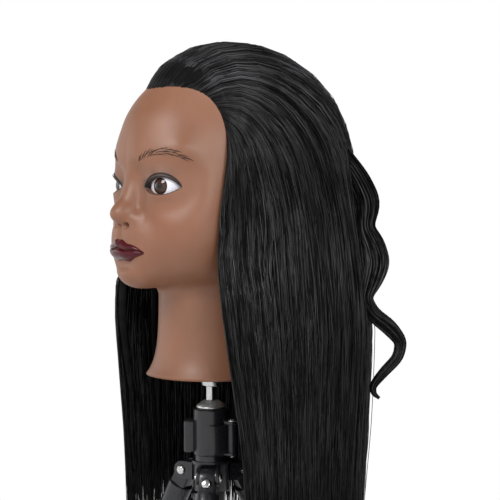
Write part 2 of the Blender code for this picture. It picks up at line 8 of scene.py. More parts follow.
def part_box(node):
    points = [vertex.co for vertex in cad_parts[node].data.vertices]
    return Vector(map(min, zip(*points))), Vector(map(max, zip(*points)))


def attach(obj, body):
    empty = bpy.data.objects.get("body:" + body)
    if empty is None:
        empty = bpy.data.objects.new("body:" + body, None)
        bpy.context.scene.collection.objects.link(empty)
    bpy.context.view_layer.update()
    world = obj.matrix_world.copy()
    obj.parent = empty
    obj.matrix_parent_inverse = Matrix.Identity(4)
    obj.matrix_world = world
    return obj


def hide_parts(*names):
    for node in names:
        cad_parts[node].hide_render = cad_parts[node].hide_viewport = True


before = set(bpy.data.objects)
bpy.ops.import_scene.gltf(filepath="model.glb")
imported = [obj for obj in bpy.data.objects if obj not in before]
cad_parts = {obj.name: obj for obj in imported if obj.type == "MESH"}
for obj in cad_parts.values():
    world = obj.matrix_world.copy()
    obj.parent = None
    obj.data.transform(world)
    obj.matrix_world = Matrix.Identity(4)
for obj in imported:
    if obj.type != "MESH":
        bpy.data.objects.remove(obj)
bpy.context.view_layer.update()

random = np.random.default_rng(776)
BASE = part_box("head_skin")[0].z  # height of the neck's lower rim; head and hair sizes are measured from it

# Head, in metres from the middle of the neck's lower rim.
NECK_RADIUS = 0.0480
NECK_FLARE = 0.0115  # how far the neck widens at its rim
FLARE_FADE = 0.015  # height over which the flare dies away
NECK_Y = 0.001
NECK_THICKNESS = 0.003
STRAIGHT_TOP = 0.060  # rows of the skin below this height are level
RAY_CENTRE = 0.165  # rows above that spread from this height on the middle axis
UNDER_CHIN_SLOPE = 1.4
FACE_HALF_TURN = 64  # bearings out to this far are closely spaced, for the face
EYE_RADIUS = 0.0190
EYE_TURN = 24  # the eyes' openings face outward by this many degrees
GAZE_TURN = 21  # and the painted irises by this many
EYE_FRONT = (0.0363, -0.0762, 0.1690)  # the middle of the iris
IRIS_RADIUS = 0.0068
CORNEA_LIFT = 0.0009
OPENING_HALF = 0.0175  # the eye opening's half width, and its edges' heights above and below the middle
OPENING_TOP = 0.0088
OPENING_BOTTOM = 0.0062
MOUTH_HALF = 0.0280
MOUTH_HEIGHT = 0.1150
BROW_STROKES = 36
LASH_COUNT = 30

# Hair, in metres from the same point.
HAIR_TIP = -0.160
HANG_TOP = 0.120  # where the locks from the middle of the hairline start to hang straight
HANG_TOP_SIDE = 0.100  # and those from the temples
CENTRE_Y = 0.014
DOME_HEIGHT = 0.1265  # from the middle of the head to the top of the hair
DOME_POWER = 2.25
FRONT_SHORTER = 0.22  # how much less the hair's dome reaches at the front than at the sides
LOCKS = 401  # columns of the hair's surface
PART_STRANDS = 900
LOOSE_STRANDS = 220
INSIDE_STRANDS = 500
CURL_STRANDS = 210
CURL_TURN = 141  # bearing of the curled lock

# Painted sheen: brightness of the hair's colour by height above the floor, in metres.
PAINTED_SHEEN_STOPS = tuple((z, (level,) * 3) for z, level in (
    (0.30, 0.30), (0.44, 0.45), (0.53, 1.0), (0.60, 0.40), (0.70, 1.0),
))


def toward(bearing, level=1.0, rise=0.0):
    """The direction at a bearing in degrees from the face's front, with this level part and rise."""
    angle = np.radians(bearing)
    return np.stack(np.broadcast_arrays(level * np.sin(angle), -level * np.cos(angle), rise), -1)


UP = np.array([0.0, 0.0, 1.0])
EYE_CENTRE = np.array(EYE_FRONT) - EYE_RADIUS * toward(GAZE_TURN)
EYE_AXIS = toward(EYE_TURN)
EYE_SIDE = np.cross(UP, EYE_AXIS)


# -------- the head's surface

def blend_in(a, b, width):
    """The union of two distance fields, rounded over this width."""
    share = np.clip(0.5 + 0.5 * (b - a) / width, 0, 1)
    return b * (1 - share) + a * share - width * share * (1 - share)


def carve(a, b, width):
    """The first distance field without the second, rounded over this width."""
    return -blend_in(-a, b, width)


def ball(points, centre, radii):
    """Distance to an ellipsoid."""
    local = (points - np.array(centre)) / np.array(radii)
    size = np.linalg.norm(local, axis=-1)
    slope = np.linalg.norm(local / np.array(radii), axis=-1)
    return size * (size - 1) / np.maximum(slope, 1e-9)


def limb(points, start, end, first, last):
    """Distance to a rounded bar that tapers from one radius to another."""
    start = np.array(start)
    along = np.array(end) - start
    share = np.clip(((points - start) @ along) / (along @ along), 0, 1)
    reach = np.linalg.norm(points - start - share[..., None] * along, axis=-1)
    return reach - (first + (last - first) * share)


def eye_local(points):
    """(sideways, height) of points from the left eye's middle, seen along its opening's axis."""
    offset = points - EYE_CENTRE
    return offset @ EYE_SIDE, offset[..., 2]


def opening_edges(sideways):
    """Heights of the eye opening's upper and lower edges."""
    share = np.clip(sideways / OPENING_HALF, -1, 1)
    skew = np.clip(share + 0.12, -1, 1)
    upper = OPENING_TOP * np.maximum(1 - share**2, 0) ** 0.80 * (1 + 0.10 * skew) - 0.0010
    lower = -OPENING_BOTTOM * np.maximum(1 - share**2, 0) ** 0.85 - 0.0010
    return upper, np.minimum(lower, upper)


def neck_radius(z):
    """Radius of the neck's outside at a height."""
    return NECK_RADIUS + NECK_FLARE * np.exp(-np.maximum(z, 0) / FLARE_FADE)


def neck(points):
    """Distance to the neck, which ends inside the head."""
    z = points[..., 2]
    return np.maximum(np.hypot(points[..., 0], points[..., 1] - NECK_Y) - neck_radius(z), z - 0.13)


def head(points, openings=True):
    """Distance to the head's surface, with or without the eye openings. Both halves are alike."""
    q = points.copy()
    q[..., 0] = np.abs(q[..., 0])
    # skull and upper face
    d = ball(q, (0, 0.014, 0.195), (0.0745, 0.0965, 0.0895))
    d = blend_in(d, ball(q, (0, -0.018, 0.155), (0.0640, 0.0580, 0.0740)), 0.030)
    d = blend_in(d, ball(q, (0, -0.030, 0.210), (0.0420, 0.0455, 0.0370)), 0.025)
    # jaw, neck and chin
    d = blend_in(d, ball(q, (0, -0.034, 0.111), (0.0510, 0.0460, 0.0310)), 0.026)
    d = blend_in(d, ball(q, (0.045, -0.012, 0.112), (0.013, 0.022, 0.024)), 0.024)
    d = blend_in(d, ball(q, (0, -0.0770, 0.0950), (0.0190, 0.0155, 0.0135)), 0.022)
    d = blend_in(d, neck(points), 0.010)
    # cheeks, mouth, brow and eye sockets
    d = blend_in(d, ball(q, (0.0310, -0.0470, 0.1400), (0.0270, 0.0225, 0.0300)), 0.034)
    d = blend_in(d, ball(q, (0, -0.0725, 0.1170), (0.0310, 0.0185, 0.0190)), 0.018)
    d = blend_in(d, ball(q, (0, -0.0775, 0.1300), (0.0220, 0.0135, 0.0130)), 0.014)
    d = blend_in(d, limb(q, (0.010, -0.0715, 0.1945), (0.042, -0.0595, 0.1955), 0.0055, 0.0045), 0.024)
    d = carve(d, ball(q, (0.0190, -0.0915, 0.1700), (0.0110, 0.0110, 0.0120)), 0.014)
    d = carve(d, ball(q, (0.0610, -0.0780, 0.1700), (0.0140, 0.0120, 0.0160)), 0.026)
    # nose, nostrils, the groove under the nose, and the hollow above the chin
    d = blend_in(d, limb(q, (0, -0.0690, 0.1850), (0, -0.0890, 0.1510), 0.0045, 0.0068), 0.0150)
    d = blend_in(d, ball(q, (0, -0.0935, 0.1450), (0.0080, 0.0086, 0.0062)), 0.0100)
    d = blend_in(d, ball(q, (0.0128, -0.0805, 0.1398), (0.0072, 0.0092, 0.0066)), 0.0055)
    d = carve(d, ball(q, (0.0080, -0.0880, 0.1352), (0.0030, 0.0056, 0.0030)), 0.0025)
    d = carve(d, limb(q, (0, -0.0935, 0.1340), (0, -0.0950, 0.1260), 0.0010, 0.0018), 0.0050)
    d = carve(d, ball(q, (0, -0.0940, 0.1010), (0.0160, 0.0045, 0.0030)), 0.0090)
    # eyelids
    reach = np.linalg.norm(q - EYE_CENTRE, axis=-1)
    d = blend_in(d, reach - (EYE_RADIUS + 0.0005), 0.0140)
    if not openings:
        return d
    sideways, height = eye_local(q)
    upper, lower = opening_edges(sideways)
    hole = np.maximum(np.maximum(height - upper, lower - height), (EYE_RADIUS - 0.0009) - reach)
    hole = np.maximum(hole, np.abs(sideways) - OPENING_HALF)
    return np.maximum(d, -hole)


def reach_of(starts, directions, level=0.0, openings=True):
    """How far along each ray the head's surface, raised by this level, is met from outside."""
    reach = np.full(starts.shape[:-1], 0.16)
    for _ in range(46):
        gap = head(starts + directions * reach[..., None], openings) - level
        reach = reach - 0.8 * gap
    return reach


# -------- materials

def material(name, roughness, metallic=0.0, specular=0.5, coat=0.0, coat_roughness=0.1, subsurface=0.0):
    """A new material with these constants on its shader, and the shader's node."""
    made = bpy.data.materials.new(name)
    made.use_nodes = True
    shader = made.node_tree.nodes["Principled BSDF"]
    shader.inputs["Roughness"].default_value = roughness
    shader.inputs["Metallic"].default_value = metallic
    shader.inputs["Specular IOR Level"].default_value = specular
    shader.inputs["Coat Weight"].default_value = coat
    shader.inputs["Coat Roughness"].default_value = coat_roughness
    shader.inputs["Subsurface Weight"].default_value = subsurface
    return made, shader


def add_node(made, kind, **settings):
    """A node in a material. A setting names an input or a property."""
    node = made.node_tree.nodes.new(kind)
    for key, value in settings.items():
        name = key.replace("_", " ").title()
        if name in node.inputs:
            node.inputs[name].default_value = value
        else:
            setattr(node, key, value)
    return node


def join(made, output, entry):
    made.node_tree.links.new(output, entry)


def coordinates(made, kind="Object", scale=(1, 1, 1)):
    source = add_node(made, "ShaderNodeTexCoord")
    mapping = add_node(made, "ShaderNodeMapping")
    mapping.inputs["Scale"].default_value = scale
    join(made, source.outputs[kind], mapping.inputs["Vector"])
    return mapping.outputs["Vector"]


def noise(made, vector, scale, detail=3.0, roughness=0.55):
    node = add_node(made, "ShaderNodeTexNoise", scale=scale, detail=detail, roughness=roughness)
    join(made, vector, node.inputs["Vector"])
    return node.outputs["Fac"]


def ramp(made, value, stops):
    """A colour ramp on a value. Each stop is (position, colour)."""
    node = add_node(made, "ShaderNodeValToRGB")
    elements = node.color_ramp.elements
    while len(elements) < len(stops):
        elements.new(0.5)
    for element, (position, colour) in zip(elements, stops):
        element.position = position
        element.color = (*colour, 1)
    join(made, value, node.inputs["Fac"])
    return node.outputs["Color"]


def grey(level):
    return (level, level, level)


def bump(made, shader, height, strength, distance):
    node = add_node(made, "ShaderNodeBump", strength=strength, distance=distance)
    join(made, height, node.inputs["Height"])
    join(made, node.outputs["Normal"], shader.inputs["Normal"])


def mixed(made, share, first, second, blend="MIX"):
    """A colour mixed from two sockets or plain colours."""
    node = add_node(made, "ShaderNodeMix")
    node.data_type = "RGBA"
    node.blend_type = blend
    for entry, value in ((node.inputs[0], share), (node.inputs[6], first), (node.inputs[7], second)):
        if isinstance(value, bpy.types.NodeSocket):
            join(made, value, entry)
        elif isinstance(value, tuple):
            entry.default_value = (*value, 1)
        else:
            entry.default_value = value
    return node.outputs[2]


def speckled(name, dark, light, scale, roughness, height=0.0, metallic=0.0, stretch=(1, 1, 1), **rest):
    """A material whose colour and gloss vary a little with fine noise, with a slight bump."""
    made, shader = material(name, roughness, metallic, **rest)
    grain = noise(made, coordinates(made, scale=stretch), scale)
    join(made, ramp(made, grain, ((0.3, dark), (0.7, light))), shader.inputs["Base Color"])
    low, high = roughness * 0.8, min(1.0, roughness * 1.25)
    join(made, ramp(made, grain, ((0.3, grey(low)), (0.7, grey(high)))), shader.inputs["Roughness"])
    if height:
        bump(made, shader, grain, 0.6, height)
    return made


def attribute(made, name):
    node = add_node(made, "ShaderNodeAttribute")
    node.attribute_name = name
    return node.outputs["Fac"]


def skin_material():
    made, shader = material(
        "vinyl_skin", 0.47, specular=0.48, coat=0.06, coat_roughness=0.35, subsurface=0.06,
    )
    shader.inputs["Subsurface Radius"].default_value = (0.010, 0.004, 0.002)
    shader.inputs["Subsurface Scale"].default_value = 0.35
    where = coordinates(made)
    cloud = noise(made, where, 28, 4)
    tone = ramp(made, cloud, ((0.3, (0.190, 0.078, 0.040)), (0.7, (0.222, 0.094, 0.050))))
    # painted shade round the eyes: the skin is darkened toward this colour where paint_skin stores it
    shaded = mixed(made, attribute(made, "painted_eye_shade"), tone, (0.022, 0.014, 0.014))
    blushed = mixed(made, attribute(made, "blush"), shaded, (0.245, 0.076, 0.034))
    join(made, blushed, shader.inputs["Base Color"])
    pores = noise(made, where, 2600, 2)
    join(made, ramp(made, cloud, ((0.3, grey(0.44)), (0.7, grey(0.52)))), shader.inputs["Roughness"])
    bump(made, shader, pores, 0.10, 0.0002)
    return made


def lip_material():
    made, shader = material("lip_gloss", 0.30, specular=0.10, coat=0.30, coat_roughness=0.03)
    where = coordinates(made, scale=(1, 1, 0.25))
    lines = noise(made, where, 900, 3)
    tone = ramp(made, lines, ((0.3, (0.040, 0.0025, 0.005)), (0.7, (0.080, 0.006, 0.011))))
    join(made, tone, shader.inputs["Base Color"])
    bump(made, shader, lines, 0.25, 0.0003)
    return made


def eye_material():
    """White, brown iris and pupil by distance from the gaze, in the eye's own coordinates; the white darkens
    toward the rim as painted shade.
    """
    made, shader = material("painted_eye", 0.12, specular=0.30, coat=0.25, coat_roughness=0.04)
    source = add_node(made, "ShaderNodeTexCoord")
    parts = add_node(made, "ShaderNodeSeparateXYZ")
    join(made, source.outputs["Object"], parts.inputs[0])
    flat = add_node(made, "ShaderNodeCombineXYZ")
    join(made, parts.outputs["X"], flat.inputs["X"])
    join(made, parts.outputs["Z"], flat.inputs["Y"])
    length = add_node(made, "ShaderNodeVectorMath", operation="LENGTH")
    join(made, flat.outputs[0], length.inputs[0])
    reach = add_node(made, "ShaderNodeMath", operation="DIVIDE")
    join(made, length.outputs["Value"], reach.inputs[0])
    reach.inputs[1].default_value = EYE_RADIUS
    edge = IRIS_RADIUS / EYE_RADIUS
    paint = ramp(made, reach.outputs[0], (
        (0.0, (0.004, 0.003, 0.003)), (edge * 0.36, (0.005, 0.003, 0.003)),
        (edge * 0.42, (0.030, 0.012, 0.007)), (edge * 0.80, (0.070, 0.030, 0.017)),
        (edge * 0.93, (0.018, 0.008, 0.006)), (edge * 1.02, (0.012, 0.008, 0.008)),
        # the white darkens and turns bluer toward the ball's rim: painted shade from the lids
        (edge * 1.09, (0.74, 0.73, 0.77)), (1.0, (0.50, 0.50, 0.60)),
    ))
    turn = add_node(made, "ShaderNodeMath", operation="ARCTAN2")
    join(made, parts.outputs["Z"], turn.inputs[0])
    join(made, parts.outputs["X"], turn.inputs[1])
    ray = add_node(made, "ShaderNodeCombineXYZ")
    join(made, turn.outputs[0], ray.inputs["X"])
    join(made, reach.outputs[0], ray.inputs["Y"])
    streaks = noise(made, ray.outputs[0], 9, 3)
    shade = ramp(made, streaks, ((0.35, grey(0.55)), (0.65, grey(1.0))))
    inside = ramp(made, reach.outputs[0], ((edge * 1.0, grey(0.9)), (edge * 1.08, grey(0.0))))
    streaked = mixed(made, 1.0, paint, shade, "MULTIPLY")
    join(made, mixed(made, inside, paint, streaked), shader.inputs["Base Color"])
    return made


def paint_material(name, dark, light, roughness):
    return speckled(name, dark, light, 1500, roughness)


def hair_material(name, dark, light, roughness, scale, height, specular):
    """Black hair: pale streaks that run along it, painted sheen, and paler again in the painted bands and
    patches where it shines.
    """
    made, shader = material(name, roughness, specular=specular)
    fine = noise(made, coordinates(made, "UV"), scale, 4, 0.7)
    # pale streaks of strand tone that stand in for the fine sheen along the hair: painted sheen
    streaks = ramp(made, fine, ((0.46, dark), (0.76, light)))
    # painted sheen: large patches, and bands by height, where the hair's colour is paler
    sheen_patches = noise(made, coordinates(made, scale=(1, 1, 0.5)), 14, 2)
    parts = add_node(made, "ShaderNodeSeparateXYZ")
    join(made, coordinates(made), parts.inputs[0])
    painted_sheen = ramp(made, parts.outputs["Z"], PAINTED_SHEEN_STOPS)
    painted_sheen = mixed(made, 0.7, painted_sheen, ramp(made, sheen_patches, ((0.38, grey(0.25)), (0.62, grey(1.0)))), "MULTIPLY")
    join(made, mixed(made, 1.0, streaks, painted_sheen, "MULTIPLY"), shader.inputs["Base Color"])
    gloss = ramp(made, fine, ((0.3, grey(roughness * 1.3)), (0.7, grey(roughness * 0.75))))
    join(made, gloss, shader.inputs["Roughness"])
    bump(made, shader, fine, 0.9, height)
    return made


# -------- mesh helpers

def sheet_faces(rows, columns, wrap=False, start=0, flip=False):
    """Four-sided faces over a grid of points numbered row by row."""
    last = columns if wrap else columns - 1
    r, c = np.meshgrid(np.arange(rows - 1), np.arange(last), indexing="ij")
    right = (c + 1) % columns
    here, above = r * columns, (r + 1) * columns
    quads = np.stack([here + c, here + right, above + right, above + c], -1).reshape(-1, 4) + start
    return quads[:, ::-1] if flip else quads


def smooth_mesh(name, points, faces, finish):
    """A smooth mesh object with one material."""
    data = bpy.data.meshes.new(name)
    data.from_pydata(np.asarray(points).tolist(), [], [list(map(int, f)) for f in faces])
    data.validate()
    data.shade_smooth()
    data.materials.append(finish)
    made = bpy.data.objects.new(name, data)
    bpy.context.scene.collection.objects.link(made)
    return made


def piece(name, points, faces, finish, body, replaces=(), uv=None):
    """A smooth mesh that rides on a body. Points are in the row frame, in metres."""
    made = smooth_mesh(name, points, faces, finish)
    if uv is not None:
        layer = made.data.uv_layers.new(name="flow")
        loops = np.zeros(len(made.data.loops), np.int32)
        made.data.loops.foreach_get("vertex_index", loops)
        layer.data.foreach_set("uv", np.asarray(uv)[loops].astype(np.float32).ravel())
    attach(made, body)
    if replaces:
        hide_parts(*replaces)
    return made


def lifted(points):
    """Points measured from the neck's rim, moved to the row frame."""
    return np.asarray(points) + BASE * UP


def unit(vectors):
    """The directions of vectors."""
    return vectors / np.maximum(np.linalg.norm(vectors, axis=-1), 1e-9)[..., None]


def closed_sheet(rows, columns):
    """Faces of a closed body between a front grid and a back grid numbered after it."""
    size = rows * columns
    faces = [list(f) for f in sheet_faces(rows, columns)]
    faces += [list(f) for f in sheet_faces(rows, columns, start=size, flip=True)]
    rim = list(range(columns)) + [r * columns + columns - 1 for r in range(1, rows)]
    rim += [size - 2 - c for c in range(columns - 1)] + [r * columns for r in range(rows - 2, 0, -1)]
    faces += [[b, a, a + size, b + size] for a, b in zip(rim, rim[1:] + rim[:1])]
    return faces


def tubes(paths, widths, heights, normals, sides=3):
    """Points and faces of many tapered strands. Paths and normals are (strand, step, 3)."""
    count, steps, _ = paths.shape
    along = unit(np.gradient(paths, axis=1))
    across = unit(np.cross(along, normals))
    outward = np.cross(across, along)
    turns = np.arange(sides) * 2 * math.pi / sides + math.pi / 2
    ring = (
        across[:, :, None] * (np.cos(turns)[None, None, :, None] * widths[..., None, None])
        + outward[:, :, None] * (np.sin(turns)[None, None, :, None] * heights[..., None, None])
    )
    points = (paths[:, :, None] + ring).reshape(-1, 3)
    one = sheet_faces(steps, sides, wrap=True, flip=True)
    starts = np.arange(count)[:, None, None] * steps * sides
    faces = [list(f) for f in (one[None] + starts).reshape(-1, 4)]
    for s in range(count):
        first = s * steps * sides
        faces.append([first + k for k in range(sides)])
        last = first + (steps - 1) * sides
        faces.append([last + k for k in reversed(range(sides))])
    return points, faces


# -------- head pieces

def head_rays():
    """Starting heights and slopes of the rays, from the neck's rim to the crown, and their bearings."""
    level = [(h, 0.0) for h in np.linspace(0, STRAIGHT_TOP, 22)]
    climb = RAY_CENTRE - STRAIGHT_TOP
    under = [(STRAIGHT_TOP + climb * s, -UNDER_CHIN_SLOPE * s) for s in np.linspace(0, 1, 18)[1:]]
    lowest = -math.degrees(math.atan(UNDER_CHIN_SLOPE))
    # the rise of each row in degrees: closely spaced from below the lips to above the brows
    spans = ((lowest, -44, 12), (-44, 26, 240), (26, 88, 26))
    rises = np.concatenate([np.linspace(first, last, count)[1:] for first, last, count in spans])
    rows = level + under + [(RAY_CENTRE, math.tan(math.radians(a))) for a in rises]
    fine = np.linspace(-FACE_HALF_TURN, FACE_HALF_TURN, 236)
    coarse = np.linspace(FACE_HALF_TURN, 360 - FACE_HALF_TURN, 54)[1:-1]
    return np.array(rows), np.concatenate([fine, coarse])


def build_skin():
    """The vinyl skin from its crown to the neck's rim, and up the inside of the neck."""
    rows, bearings = head_rays()
    starts = np.zeros((len(rows), len(bearings), 3))
    starts[..., 2] = rows[:, :1]
    directions = unit(toward(bearings[None], 1.0, rows[:, 1:]))
    outer = starts + directions * reach_of(starts, directions)[..., None]
    count = len(bearings)
    faces = [list(f) for f in sheet_faces(len(rows), count, wrap=True)]
    top = len(outer.reshape(-1, 3))
    crown = np.array([[0, 0, outer[-1, :, 2].mean() + 0.0001]])
    faces += [[top - count + c, top - count + (c + 1) % count, top] for c in range(count)]
    # rings up the inside of the neck: height, and how far inside the neck's outer surface
    rim = ((0.0008, NECK_THICKNESS + 0.0006), (0.003, NECK_THICKNESS))
    rim += ((0.030, NECK_THICKNESS), (0.075, NECK_THICKNESS))
    inside = [toward(bearings) * (neck_radius(h) - inward) + (0, NECK_Y, h) for h, inward in rim]
    points = np.concatenate([outer.reshape(-1, 3), crown, *inside])
    first = top + 1
    rings = [list(range(count))]
    rings += [list(range(first + i * count, first + (i + 1) * count)) for i in range(len(rim))]
    for lower, upper in zip(rings, rings[1:]):
        faces += [[lower[(c + 1) % count], lower[c], upper[c], upper[(c + 1) % count]] for c in range(count)]
    faces.append(rings[-1])
    finish = skin_material()
    made = piece("vinyl_skin", lifted(points), faces, finish, "head", ["head_skin"])
    paint_skin(made, points)


def paint_skin(made, points):
    """Stores how strongly each point of the skin gets painted shade round the eyes, and blush on the cheeks.
    """
    q = points.copy()
    q[:, 0] = np.abs(q[:, 0])
    sideways, height = eye_local(q)
    upper, _ = opening_edges(sideways)
    front = q[:, 1] < -0.03
    above = height - np.where(np.abs(sideways) < OPENING_HALF, upper, -0.001)
    reach = np.linalg.norm(q - EYE_CENTRE, axis=-1)
    # painted shade round the left eye: a band along the upper lid's edge, the inner corner, a band above the
    # upper lid, a faint band under the eye and the opening's wall
    lid = np.clip(1.4 - np.abs(above - 0.0010) / 0.0018, 0, 1) * (np.abs(sideways) < OPENING_HALF + 0.001)
    corner = 0.8 * np.exp(-(((sideways + 0.0178) / 0.0038) ** 2) - (((height - 0.0015) / 0.0052) ** 2))
    above_lid_shade = 0.30 * np.exp(-(((height - 0.0115) / 0.0055) ** 2) - ((sideways / 0.014) ** 2))
    under = 0.16 * np.exp(-(((height + 0.0105) / 0.0030) ** 2) - ((sideways / 0.012) ** 2))
    wall = (reach < EYE_RADIUS + 0.0009) * 0.85
    shade = np.clip(0.60 * lid + 0.85 * corner + above_lid_shade + under + wall, 0, 0.92) * front
    blush = 0.35 * np.exp(-(((q[:, 0] - 0.040) / 0.016) ** 2) - (((q[:, 2] - 0.138) / 0.014) ** 2)) * front
    for name, values in (("painted_eye_shade", shade), ("blush", blush)):
        layer = made.data.attributes.new(name, "FLOAT", "POINT")
        layer.data.foreach_set("value", values.astype(np.float32))


def build_eyes():
    """A glossy painted ball behind each opening, with a low cornea in front."""
    finish = eye_material()
    rings, columns = 40, 56
    angles = np.linspace(0, math.radians(84), rings)[1:]
    turns = np.arange(columns) * 2 * math.pi / columns
    reach = EYE_RADIUS * np.sin(angles)
    cornea = CORNEA_LIFT * np.clip(1 - (reach / (IRIS_RADIUS * 1.15)) ** 2, 0, 1) ** 1.2
    points = [[0.0, -EYE_RADIUS - CORNEA_LIFT, 0.0]]
    for r, a, lift in zip(reach, angles, cornea):
        points += [[r * math.cos(t), -(EYE_RADIUS * math.cos(a) + lift), r * math.sin(t)] for t in turns]
    faces = [[0, 1 + c, 1 + (c + 1) % columns] for c in range(columns)]
    faces += [list(f) for f in sheet_faces(rings - 1, columns, wrap=True, start=1)]
    faces.append([1 + (rings - 2) * columns + c for c in reversed(range(columns))])
    for name, side in (("left_eye", 1), ("right_eye", -1)):
        made = smooth_mesh(name + "_ball", points, faces, finish)
        turn = Matrix.Rotation(math.radians(side * GAZE_TURN), 4, "Z")
        made.matrix_world = Matrix.Translation(lifted(EYE_CENTRE * np.array([side, 1, 1]))) @ turn
        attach(made, "head")
        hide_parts(name)


def on_face(x, z, level=0.0):
    """Points of the face's front surface at these widths and heights, raised by a level."""
    x, z = np.broadcast_arrays(np.asarray(x, float), np.asarray(z, float))
    y = np.full(x.shape, -0.14)
    level = np.broadcast_to(level, x.shape)
    for _ in range(60):
        gap = head(np.stack([x, y, z], -1), openings=False) - level
        y = y + 0.7 * gap
    return np.stack([x, y, z], -1)


def face_normals(points):
    """Outward directions of the head's surface near these points."""
    step = 0.0004
    slopes = [head(points + o, False) - head(points - o, False) for o in np.eye(3) * step]
    return unit(np.stack(slopes, -1))


def build_lips():
    """Full lips: a crowned sheet from the upper border to the lower, with a crease between the lips."""
    columns, rows = 81, 49
    across = np.linspace(-1, 1, columns)
    share = np.abs(across)
    line = MOUTH_HEIGHT - 0.0022 * share**2 + 0.0006 * np.cos(across * 9)
    # the two peaks of the upper lip, and the dip between them
    bow = 0.0013 * np.exp(-(((share - 0.20) / 0.13) ** 2)) - 0.0006 * np.exp(-((share / 0.08) ** 2))
    upper = 0.0078 * (1 - share**1.5) ** 0.9 + bow
    lower = 0.0112 * (1 - share**2.2) ** 0.85
    v = np.linspace(-1, 1, rows)[:, None]
    z = np.where(v > 0, line + v * upper, line + v * lower)
    fade = (1 - share**3) ** 0.8
    up, down = np.clip(v, 0, 1), np.clip(-v, 0, 1)
    crown_upper = 0.0022 * np.sin(np.pi * up**0.75) ** 0.8 * fade
    crown_upper = crown_upper + 0.0012 * np.exp(-((share / 0.12) ** 2)) * np.sin(np.pi * up) ** 2
    crown_lower = 0.0032 * np.sin(np.pi * down**0.70) ** 0.75 * fade
    crease = -0.0016 * np.exp(-((v / 0.045) ** 2)) * fade
    level = np.where(v > 0, crown_upper, crown_lower) + crease + 0.0004
    edge = np.clip((1 - np.abs(v)) / 0.06, 0, 1) * np.clip((1 - share) / 0.03, 0, 1)
    level = level * edge - 0.0012 * (1 - edge)
    x = np.broadcast_to(across * MOUTH_HALF, z.shape)
    front = on_face(x, z, 0.0)
    front[..., 1] -= level
    back = front + np.array([0, 0.0045, 0])
    points = np.concatenate([front.reshape(-1, 3), back.reshape(-1, 3)])
    piece("lips", lifted(points), closed_sheet(rows, columns), lip_material(), "head")


def strokes(name, paths, widths, finish, lift):
    """Painted strokes: thin raised strips along paths on the face."""
    normals = face_normals(paths)
    paths = paths + normals * lift
    steps = paths.shape[1]
    taper = np.clip(np.minimum(np.linspace(0.6, 5, steps), np.linspace(3.6, 0.15, steps)), 0.1, 1)
    wide = np.asarray(widths)[:, None] * taper
    points, faces = tubes(paths, wide, wide * 0.5, normals)
    piece(name, lifted(points), faces, finish, "head")


def build_brows():
    """An arched row of strokes over each eye, steep by the nose and turning down at its outer end."""
    spine_x = np.array([0.0180, 0.0240, 0.0310, 0.0390, 0.0460, 0.0530])
    spine_z = np.array([0.1895, 0.1930, 0.1960, 0.1985, 0.1975, 0.1930])
    finish = paint_material("brow_paint", (0.006, 0.003, 0.003), (0.018, 0.009, 0.008), 0.5)
    knots = np.linspace(0, 1, len(spine_x))
    parts = 7
    for side, name in ((1, "brow_left"), (-1, "brow_right")):
        paths, widths = [], []
        for i in range(BROW_STROKES):
            place = (i + random.uniform(-0.2, 0.2)) / (BROW_STROKES - 1)
            place = min(max(place, 0), 1)
            layer = (i % 3) - 1 + random.uniform(-0.25, 0.25)
            half = np.interp(place, (0, 0.15, 0.6, 1), (0.0004, 0.0010, 0.0019, 0.0008))
            x = np.interp(place, knots, spine_x)
            z = np.interp(place, knots, spine_z) + layer * half
            lean = np.interp(place, (0, 0.2, 0.45, 1), (80, 62, 26, -26)) + random.uniform(-4, 4)
            lean += layer * np.interp(place, (0, 0.5, 1), (2, 7, 5))
            length = np.interp(place, (0, 0.3, 1), (0.0072, 0.0080, 0.0064)) * random.uniform(0.75, 1.1)
            bend = math.radians(lean) - np.linspace(0, 1, parts) * math.radians(22)
            px = x + np.cumsum(np.cos(bend)) / parts * length
            pz = z + np.cumsum(np.sin(bend)) / parts * length
            paths.append(on_face(px, pz))
            widths.append(random.uniform(0.00022, 0.00029))
        strokes(name, np.array(paths) * np.array([side, 1, 1]), widths, finish, 0.00030)


def lid_points(sideways, height, level):
    """Points on the left eye's lids, by place across the opening, raised by a level along its axis."""
    base = EYE_CENTRE + sideways[..., None] * EYE_SIDE + height[..., None] * UP
    depth = np.full(base.shape[:-1], 0.032)
    for _ in range(50):
        depth = depth - 0.7 * head(base + depth[..., None] * EYE_AXIS, openings=False)
    return base + (depth + level)[..., None] * EYE_AXIS


